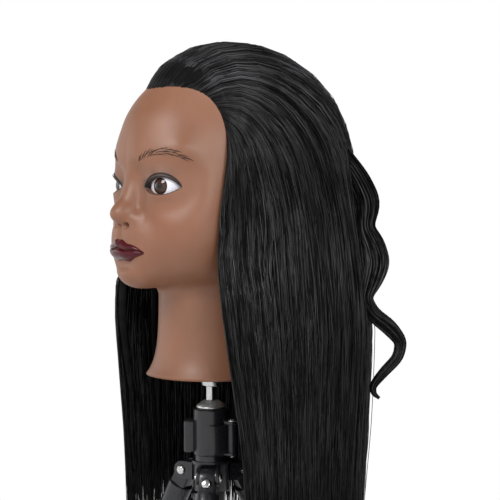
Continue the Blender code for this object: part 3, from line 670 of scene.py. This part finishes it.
def build_eye_lines():
    """Dark edges of the openings, the line above the upper lid and a row of short lashes."""
    black = paint_material("lash_paint", (0.0010, 0.0010, 0.0010), (0.0030, 0.0028, 0.0028), 0.55)
    steps = 64
    share = np.linspace(-1, 1, steps)
    across = share * (OPENING_HALF + 0.0002)
    upper, lower = opening_edges(across)
    ends = np.clip((1 - np.abs(share)) * 9, 0.25, 1)
    high = upper + 0.0030 * np.clip(1 - share**2, 0, 1) ** 0.5
    high_ends = np.clip((1.04 - np.abs(share)) * 9, 0.35, 1)
    paths = [lid_points(across, upper + 0.0002, -0.0002), lid_points(across, lower - 0.0001, -0.0001)]
    paths.append(lid_points(across * 1.03 + 0.0002, high, 0.0001))
    widths = [0.00060 * ends, 0.00034 * ends, 0.00072 * high_ends]
    for side, label in ((1, "left"), (-1, "right")):
        lashes = []
        for i in range(LASH_COUNT):
            place = -0.72 + 1.66 * (i + random.uniform(-0.3, 0.3)) / (LASH_COUNT - 1)
            place = min(place, 0.96)
            x0 = place * OPENING_HALF
            z0 = float(np.interp(x0, across, upper)) + 0.0003
            grow = np.linspace(0, 1, 8)
            size = np.interp(place, (-0.7, 0.3, 1), (0.0014, 0.0026, 0.0036)) * random.uniform(0.85, 1.1)
            x = x0 + grow * size * (0.15 + 0.75 * max(place, -0.2))
            z = z0 + grow**1.3 * size * 0.80
            base = lid_points(np.full(8, x0), np.full(8, z0), 0.0)
            reach = base + (x - x0)[:, None] * EYE_SIDE + (z - z0)[:, None] * UP
            lashes.append(reach + (np.sin(grow * 1.9) * size * 0.55)[:, None] * EYE_AXIS)
        mirror = np.array([side, 1, 1])
        lash_widths = [0.00016 * np.linspace(1, 0.25, 8)] * LASH_COUNT
        for name, group, size in (("lines", paths, widths), ("lashes", lashes, lash_widths)):
            group, size = np.array(group), np.array(size)
            normals = unit(group - EYE_CENTRE)
            points, faces = tubes(group * mirror, size, size * 0.8, normals * mirror, sides=5)
            piece(f"eye_{name}_{label}", lifted(points), faces, black, "head")


# -------- hair

# Points of the left half of the hairline, from the middle of the forehead to the temple.
HAIRLINE = np.array([
    (0.000, -0.0660, 0.2570), (0.014, -0.0630, 0.2580), (0.024, -0.0585, 0.2590), (0.032, -0.0530, 0.2580),
    (0.039, -0.0470, 0.2560), (0.046, -0.0420, 0.2530), (0.052, -0.0375, 0.2480), (0.058, -0.0345, 0.2420),
    (0.063, -0.0325, 0.2350), (0.067, -0.0315, 0.2270), (0.070, -0.0305, 0.2180),
])
FALL_BEARINGS = (180, 171, 160, 148, 136, 124, 110, 96, 81, 66, 53)  # where the hair from each hangs
ROW_COUNT = 84
BENT_SHARE = 0.46  # share of each lock's rows that lie on the head


def smooth_step(value, first, last):
    share = np.clip((value - first) / (last - first), 0, 1)
    return share * share * (3 - 2 * share)


def outline_radius(bearing, height):
    """Distance of the hanging hair's outer surface from its middle axis."""
    heights = (-0.165, -0.05, 0.04, 0.09, 0.15, 0.20)
    half_width = np.interp(height, heights, (0.097, 0.101, 0.105, 0.103, 0.097, 0.091))
    half_length = np.interp(height, heights, (0.119, 0.126, 0.128, 0.124, 0.118, 0.112))
    angle = np.radians(bearing)
    radius = 1 / np.hypot(np.sin(angle) / half_width, np.cos(angle) / half_length)
    fuller = np.interp(height, (-0.12, 0.04, 0.17), (0.014, 0.015, 0.010))
    return radius + fuller * np.exp(-(((bearing - 138) / 32) ** 2))


def dome_reach(out, bearing):
    """How far the hair reaches along directions that rise from the middle of the head."""
    forward = np.clip(np.cos(np.radians(bearing)), 0, 1)
    level = outline_radius(bearing, RAY_CENTRE) * (1 - FRONT_SHORTER * forward)
    flat = np.hypot(out[..., 0], out[..., 1]) / level
    rise = np.maximum(out[..., 2], 0) / DOME_HEIGHT
    return (flat**DOME_POWER + rise**DOME_POWER) ** (-1 / DOME_POWER)


def guide_paths(places):
    """Rough paths of locks from the hairline to the tips. Places run from -1, the right temple, to 1."""
    share = np.abs(places)
    side = np.where(places < 0, -1.0, 1.0)
    knots = np.linspace(0, 1, len(HAIRLINE))
    root = np.stack([np.interp(share, knots, HAIRLINE[:, k]) for k in range(3)], -1)
    fall = np.interp(share, knots, FALL_BEARINGS) + np.where(places < 0, 3, 0) * share
    hang_z = np.interp(share, (0, 1), (HANG_TOP, HANG_TOP_SIDE))
    direction = toward(fall)
    reach = outline_radius(fall, hang_z)
    hang = direction * reach[:, None] + np.stack([0 * fall, 0 * fall + CENTRE_Y, hang_z], -1)
    lift = np.interp(share, (0, 0.25, 0.5, 0.75, 1), (0.105, 0.075, 0.030, -0.010, -0.034))
    back = np.interp(share, (0, 0.4, 0.8, 1), (0.075, 0.060, 0.024, 0.001))
    outward = np.interp(share, (0, 0.4, 0.8, 1), (0.0, 0.022, 0.018, 0.006))
    first = root + np.stack([outward, back, lift], -1)
    drop = np.interp(share, (0, 0.4, 0.8, 1), (0.150, 0.105, 0.062, 0.052))
    second = hang + np.stack([0 * share, np.interp(share, (0, 0.5, 1), (0.02, 0.006, -0.001)), drop], -1)
    rows = int(ROW_COUNT * BENT_SHARE)
    t = np.linspace(0, 1, rows)[None, :, None] ** 0.9
    bent = (1 - t) ** 3 * root[:, None] + 3 * (1 - t) ** 2 * t * first[:, None]
    bent = bent + 3 * (1 - t) * t**2 * second[:, None] + t**3 * hang[:, None]
    down = np.linspace(0, 1, ROW_COUNT - rows + 1)[1:]
    height = hang_z[:, None] + (HAIR_TIP - hang_z[:, None]) * down[None]
    swing = np.where(places > 0, 13, 5) * np.interp(share, (0.6, 1), (0, 1))
    fall_here = fall[:, None] + swing[:, None] * smooth_step(down, -0.1, 0.8)[None]
    straight = toward(fall_here) * 0.1 + np.stack([0 * height, 0 * height + CENTRE_Y, height], -1)
    path = np.concatenate([bent, straight], 1)
    path[..., 0] *= side[:, None]
    return path


def hair_grid(places):
    """The hair's outer surface and its outward directions, along the lock at each place."""
    path = guide_paths(places)
    middle = np.minimum(path[..., 2], RAY_CENTRE)
    centres = np.stack([0 * middle, 0 * middle + CENTRE_Y, middle], -1)
    out = unit(path - centres)
    skin = reach_of(centres, out, 0.0, openings=False)
    walked = np.zeros(path.shape[:2])
    on_skin = centres + out * skin[..., None]
    steps = np.linalg.norm(np.diff(on_skin, axis=1), axis=-1)
    walked[:, 1:] = np.cumsum(steps, 1)
    edge = np.interp(1 - np.abs(places), (0, 0.03, 0.08, 0.20), (0.0034, 0.0062, 0.0095, 0.030))[:, None]
    thickness = np.interp(
        walked, (0, 0.010, 0.022, 0.040, 0.085, 0.140, 0.185),
        (0.0006, 0.0036, 0.0066, 0.0092, 0.0110, 0.0145, 0.021),
    )
    # the right side's hair stands a little higher off the hairline
    right = smooth_step(-places, 0.1, 0.4)[:, None]
    thickness = thickness * (1 + 0.8 * right * (1 - smooth_step(walked, 0.02, 0.06)))
    thickness = np.minimum(thickness, edge * 1.25)
    over_skin = skin + thickness
    bearing = np.degrees(np.arctan2(np.abs(out[..., 0]), -out[..., 1]))
    bearing = np.where(out[..., 0] < 0, 360 - bearing, bearing)
    level = outline_radius(bearing, middle)
    outline = np.where(path[..., 2] > RAY_CENTRE, dome_reach(out, bearing), level)
    full = -blend_in(-over_skin, -outline, 0.012)
    full = np.where(path[..., 2] < 0.075, outline, full)
    near = smooth_step(walked, 0.0, 0.034) * smooth_step(1 - np.abs(places), 0.0, 0.22)[:, None]
    hanging = smooth_step(-path[..., 2], -0.135, -0.075)
    share = np.maximum(near, hanging)
    radius = over_skin * (1 - share) + full * share
    return centres + out * radius[..., None], out


def between(grid, place, row):
    """A grid's values at fractional places along both of its sides."""
    place = np.clip(place, 0, grid.shape[0] - 1.001)
    row = np.clip(row, 0, grid.shape[1] - 1.001)
    i, j = place.astype(int), row.astype(int)
    a, b = (place - i)[..., None], (row - j)[..., None]
    return (
        grid[i, j] * (1 - a) * (1 - b) + grid[i + 1, j] * a * (1 - b)
        + grid[i, j + 1] * (1 - a) * b + grid[i + 1, j + 1] * a * b
    )


def wander(count, knots, samples, spread):
    """Smooth random curves: one row for each strand."""
    rough = random.normal(0, spread, (count, knots))
    at = np.linspace(0, knots - 1, samples)
    low = np.minimum(at.astype(int), knots - 2)
    part = at - low
    part = part * part * (3 - 2 * part)
    return rough[:, low] * (1 - part) + rough[:, low + 1] * part


def build_hair_mass(surface, out, finish):
    """The body of the hair: grooved along its flow, hollow inside, open over the face."""
    count, rows = surface.shape[:2]
    groove = np.zeros((count, rows))
    for knots, size in ((150, 0.0006), (60, 0.0009)):
        groove += wander(rows, knots, count, size)[0][:, None]
        drift = wander(9, knots, count, size * 0.8)
        at = np.linspace(0, 8, rows)
        low = np.minimum(at.astype(int), 7)
        groove += (drift[low].T * (1 - (at - low)) + drift[low + 1].T * (at - low))
    walk = np.linspace(0, 1, rows)[None]
    calm = 0.25 + 0.75 * smooth_step(walk, 0.10, 0.45)
    outer = surface + out * (groove * calm - 0.0011)[..., None]
    # ends that aren't level
    ends = np.abs(wander(1, 90, count, 0.010)[0])
    places = np.linspace(-1, 1, count)
    ends += (0.045 + np.abs(wander(1, 70, count, 0.020)[0])) * smooth_step(-places, -0.15, 0.15)
    low_part = smooth_step(walk, 0.55, 1.0)
    outer[..., 2] += ends[:, None] * low_part
    hanging = smooth_step(-surface[..., 2], -0.20, -0.06)
    thick = (0.0011 + 0.0082 * hanging) * (1 - 0.55 * low_part)
    inner = outer - out * thick[..., None]
    points = np.concatenate([outer.reshape(-1, 3), inner.reshape(-1, 3)])
    faces = closed_sheet(count, rows)
    u = np.broadcast_to(np.linspace(0, 1, count)[:, None] * 6.0, (count, rows)).reshape(-1)
    v = np.broadcast_to(walk * 0.10, (count, rows)).reshape(-1)
    uv = np.stack([np.concatenate([u, u]), np.concatenate([v, v])], -1)
    nodes = ["hair_crown", "hair_left", "hair_right", "hair_back"]
    piece("hair_mass", lifted(points), faces, finish, "head", nodes, uv)


def strand_uv(count, steps, sides):
    """A coordinate for each strand: its own column, stretched along its length."""
    column = np.repeat(random.uniform(0, 40.0, count), steps * sides)
    along = np.tile(np.repeat(np.linspace(0, 0.6, steps), sides), count)
    return np.stack([column, along], -1)


def build_strands(name, places_at, surface, out, count, finish, inside=False, loose=0.0):
    """Fine strands along the hair's flow, from the hairline or from higher strands, to the tips."""
    first, last = places_at
    steps = 27
    size = surface.shape[0]
    place = random.uniform(first, last, count)
    from_hairline = random.uniform(0, 1, count) < 0.42
    start = np.where(from_hairline, 0.0, random.uniform(0.02, 0.62, count))
    if inside:
        start = random.uniform(0.45, 0.60, count)
    end = random.uniform(0.93, 1.0, count)
    walk = start[:, None] + (end - start)[:, None] * np.linspace(0, 1, steps)[None]
    drift = wander(count, 5, steps, 1.5) * smooth_step(walk, 0.02, 0.25)
    column = (place[:, None] + 1) / 2 * (size - 1) + drift
    row = walk * (surface.shape[1] - 1)
    paths = between(surface, column, row)
    normals = between(out, column, row)
    rise = random.uniform(-0.0002, 0.0011, count)[:, None] + wander(count, 5, steps, 0.0005)
    rise = rise + loose * np.abs(wander(count, 4, steps, 1.0)) * smooth_step(walk, 0.1, 0.5)
    root = np.linspace(0, 1, steps)[None]
    sunk = np.where(from_hairline[:, None] & (not inside), -0.0009, -0.0022) * np.clip(1 - root * 7, 0, 1)
    rise = rise * np.clip(root * 7, 0, 1) + sunk
    if inside:
        rise = -0.0098 - np.abs(rise)
    paths = paths + normals * rise[..., None]
    paths[..., 2] -= random.uniform(-0.004, 0.008, count)[:, None] * smooth_step(walk, 0.8, 1.0)
    paths[..., 2] = np.maximum(paths[..., 2], HAIR_TIP - 0.004)
    wide = random.uniform(0.00034, 0.00062, count)[:, None] * np.clip((1.02 - root) * 6, 0.16, 1)
    wide = wide * np.clip(root * 8 + 0.35, 0, 1)
    points, faces = tubes(paths, wide, wide * 0.6, normals)
    piece(name, lifted(points), faces, finish, "head", (), strand_uv(count, steps, 3))


def build_curled_lock(finish):
    """The curled lock: a flat bundle of strands that winds down and thins to a loose tail."""
    # its spine: distance out, distance sideways, height and the bundle's half width
    stops = np.array([
        (0.114, 0.000, 0.200, 0.009), (0.131, 0.003, 0.176, 0.011), (0.1405, 0.004, 0.154, 0.0125),
        (0.1370, 0.003, 0.132, 0.0085), (0.1440, 0.000, 0.116, 0.0125), (0.1470, -0.003, 0.101, 0.0145),
        (0.143, -0.005, 0.086, 0.012), (0.1370, -0.004, 0.069, 0.0070), (0.145, 0.000, 0.054, 0.0068),
        (0.160, 0.004, 0.042, 0.0070), (0.171, 0.004, 0.029, 0.0052), (0.168, 0.000, 0.015, 0.0042),
        (0.155, -0.003, 0.002, 0.0036), (0.1455, -0.003, -0.010, 0.0026), (0.1465, 0.000, -0.018, 0.0018),
        (0.152, 0.002, -0.0225, 0.0006),
    ])
    fine = np.linspace(0, len(stops) - 1, 90)
    kernel = np.hanning(9) / np.hanning(9).sum()
    smooth = []
    for column in stops.T:
        value = np.interp(fine, np.arange(len(stops)), column)
        padded = np.concatenate([np.full(4, value[0]), value, np.full(4, value[-1])])
        smooth.append(np.convolve(padded, kernel, "valid"))
    out, sideways, height, half = smooth
    side = np.cross(UP, toward(CURL_TURN))
    spine = out[:, None] * toward(CURL_TURN) + sideways[:, None] * side + height[:, None] * UP
    along = unit(np.gradient(spine, axis=0))
    across = unit(np.cross(along, side))
    facing = np.cross(across, along)
    count, steps = CURL_STRANDS, len(fine)
    twist = np.linspace(0, 1, steps)[None] * random.uniform(0.2, 1.4, count)[:, None]
    angle = random.uniform(0, 2 * math.pi, count)[:, None] + twist
    reach = np.sqrt(random.uniform(0, 1, count))[:, None] * half[None]
    across_by = np.cos(angle) * reach + wander(count, 6, steps, 0.0004)
    facing_by = np.sin(angle) * reach * 0.45
    paths = spine[None] + across_by[..., None] * across[None] + facing_by[..., None] * facing[None]
    wide = np.full((count, steps), 0.00062) * np.clip((1.01 - np.linspace(0, 1, steps)) * 9, 0.25, 1)[None]
    normals = np.broadcast_to(facing[None], paths.shape)
    points, faces = tubes(paths, wide, wide * 0.8, normals)
    uv = strand_uv(count, steps, 3)
    piece("curled_strands", lifted(points), faces, finish, "head", ["curled_lock"], uv)


def build_hair():
    """The swept-back hair, its strands in bundles from temple to temple, and the curled lock."""
    black = (0.0006, 0.0006, 0.0008)
    # the paler colour of each is painted sheen, in streaks along the hair
    mass = hair_material("hair_mass", black, (0.020, 0.019, 0.021), 0.40, 46, 0.0012, 0.08)
    strand = hair_material("hair_strands", black, (0.190, 0.185, 0.195), 0.32, 6, 0.0003, 0.14)
    surface, out = hair_grid(np.linspace(-1, 1, LOCKS))
    build_hair_mass(surface, out, mass)
    parts = {
        "right_front": (-1, -0.62), "right_back": (-0.62, 0.0),
        "left_back": (0.0, 0.62), "left_front": (0.62, 1),
    }
    for label, ends in parts.items():
        build_strands(f"strands_{label}", ends, surface, out, PART_STRANDS, strand)
    build_strands("strands_loose", (-1, 1), surface, out, LOOSE_STRANDS, strand, loose=0.0016)
    build_strands("strands_inside", (-1, 1), surface, out, INSIDE_STRANDS, strand, inside=True)
    build_curled_lock(strand)


# -------- stand

def finish_stand():
    """Gives each part of the stand its finish, with small rounded edges that catch the light."""
    tube = speckled(
        "satin_aluminium", (0.46, 0.46, 0.47), (0.62, 0.62, 0.63), 300, 0.30, 0.00004, 1.0, (1, 1, 0.06),
    )
    steel = speckled("bright_steel", (0.50, 0.50, 0.50), (0.68, 0.68, 0.67), 700, 0.20, 0.00003, 1.0)
    satin = speckled("satin_steel", (0.62, 0.62, 0.62), (0.80, 0.80, 0.79), 500, 0.42, 0.00003, 1.0)
    plastic = speckled(
        "black_plastic", (0.006, 0.006, 0.008), (0.013, 0.013, 0.016), 1800, 0.30, 0.00006,
        specular=0.4, coat=0.3, coat_roughness=0.12,
    )
    socket = speckled("neck_plastic", (0.16, 0.16, 0.16), (0.22, 0.22, 0.22), 900, 0.5, 0.00006)
    rubber = speckled("foot_rubber", (0.012, 0.012, 0.012), (0.028, 0.028, 0.027), 1100, 0.75, 0.0002)
    # by the end of a part's name, a longer one after the shorter one that it overrides
    finishes = {
        "tube": tube, "cap": satin, "end_cap": plastic, "rod": steel, "nut": steel, "screw": steel,
        "pin": steel, "foot": rubber, "neck_socket": socket, "neck_plate": socket, "head_plug": socket,
    }
    for name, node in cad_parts.items():
        chosen = plastic
        for word, finish in finishes.items():
            if name.endswith(word):
                chosen = finish
        if not node.material_slots:
            node.data.materials.append(chosen)
        for entry in node.material_slots:
            entry.material = chosen
        if name.startswith(("head_skin", "left_eye", "right_eye", "hair", "curled")):
            continue
        for face in node.data.polygons:
            face.use_smooth = True
        weld = node.modifiers.new("weld", "WELD")
        weld.merge_threshold = 0.00001
        edge = node.modifiers.new("edges", "BEVEL")
        edge.width = 0.00035
        edge.segments = 2
        edge.limit_method = "ANGLE"
        edge.angle_limit = math.radians(33)


# -------- stage

def build_stage():
    build_floor()
    build_lights()
    build_camera()


def build_floor():
    """A disc that fades to white away from the stand."""
    steps, rings = 96, (0.4, 0.9, 1.6, 3.0, 6.0, 14.0)
    turns = np.arange(steps) * 2 * math.pi / steps
    points = [[0, 0, 0]]
    for ring in rings:
        points += [[ring * math.cos(a), ring * math.sin(a), 0] for a in turns]
    faces = [[0, 1 + c, 1 + (c + 1) % steps] for c in range(steps)]
    faces += [list(f) for f in sheet_faces(len(rings), steps, wrap=True, start=1, flip=True)]
    made, shader = material("floor", 0.9, specular=0.1)
    shader.inputs["Base Color"].default_value = (0.90, 0.90, 0.90, 1)
    where = add_node(made, "ShaderNodeTexCoord")
    length = add_node(made, "ShaderNodeVectorMath", operation="LENGTH")
    join(made, where.outputs["Object"], length.inputs[0])
    far = add_node(made, "ShaderNodeMapRange")
    far.inputs["From Min"].default_value = 0.35
    far.inputs["From Max"].default_value = 1.10
    join(made, length.outputs["Value"], far.inputs["Value"])
    glow = add_node(made, "ShaderNodeEmission")
    glow.inputs["Color"].default_value = (1, 1, 1, 1)
    blend = add_node(made, "ShaderNodeMixShader")
    join(made, far.outputs[0], blend.inputs[0])
    join(made, shader.outputs[0], blend.inputs[1])
    join(made, glow.outputs[0], blend.inputs[2])
    join(made, blend.outputs[0], made.node_tree.nodes["Material Output"].inputs["Surface"])
    floor = smooth_mesh("floor", points, faces, made)
    floor.location.z = -0.0005


def build_lights():
    """A world that is white low down and darker overhead, and four soft lamps aimed at the head."""
    world = bpy.data.worlds.new("studio")
    world.use_nodes = True
    sky = add_node(world, "ShaderNodeTexCoord")
    parts = add_node(world, "ShaderNodeSeparateXYZ")
    join(world, sky.outputs["Generated"], parts.inputs[0])
    glow = ramp(world, parts.outputs["Z"], ((0.22, grey(1.0)), (0.50, grey(0.20))))
    join(world, glow, world.node_tree.nodes["Background"].inputs["Color"])
    bpy.context.scene.world = world

    lamps = {
        "key": ((0.35, -1.50, 1.60), 20, 0.6), "left": ((-1.3, -1.0, 0.9), 2, 0.8),
        "right": ((1.65, -0.30, 1.25), 11, 0.5), "top": ((0.3, 0.2, 2.1), 9, 0.6),
    }
    for name, (place, power, size) in lamps.items():
        light = bpy.data.lights.new(name, "AREA")
        light.energy = power
        light.size = size
        lamp = bpy.data.objects.new(name, light)
        bpy.context.scene.collection.objects.link(lamp)
        lamp.location = place
        aim = Vector((0, 0, BASE + 0.15)) - Vector(place)
        lamp.rotation_euler = aim.to_track_quat("-Z", "Y").to_euler()


def build_camera():
    azimuth, elevation, distance = math.radians(55), math.radians(3), 1.3
    target = Vector((0.0201, 0.0287, BASE + 0.1110))
    level = math.cos(elevation)
    back = Vector((math.sin(azimuth) * level, -math.cos(azimuth) * level, math.sin(elevation)))
    lens = bpy.data.cameras.new("camera")
    lens.lens = 104
    camera = bpy.data.objects.new("camera", lens)
    bpy.context.scene.collection.objects.link(camera)
    camera.location = target + back * distance
    camera.rotation_euler = (-back).to_track_quat("-Z", "Y").to_euler()
    bpy.context.scene.camera = camera
    bpy.context.scene.view_settings.view_transform = "Standard"


build_stage()
build_skin()
build_eyes()
build_lips()
build_brows()
build_eye_lines()
build_hair()
finish_stand()
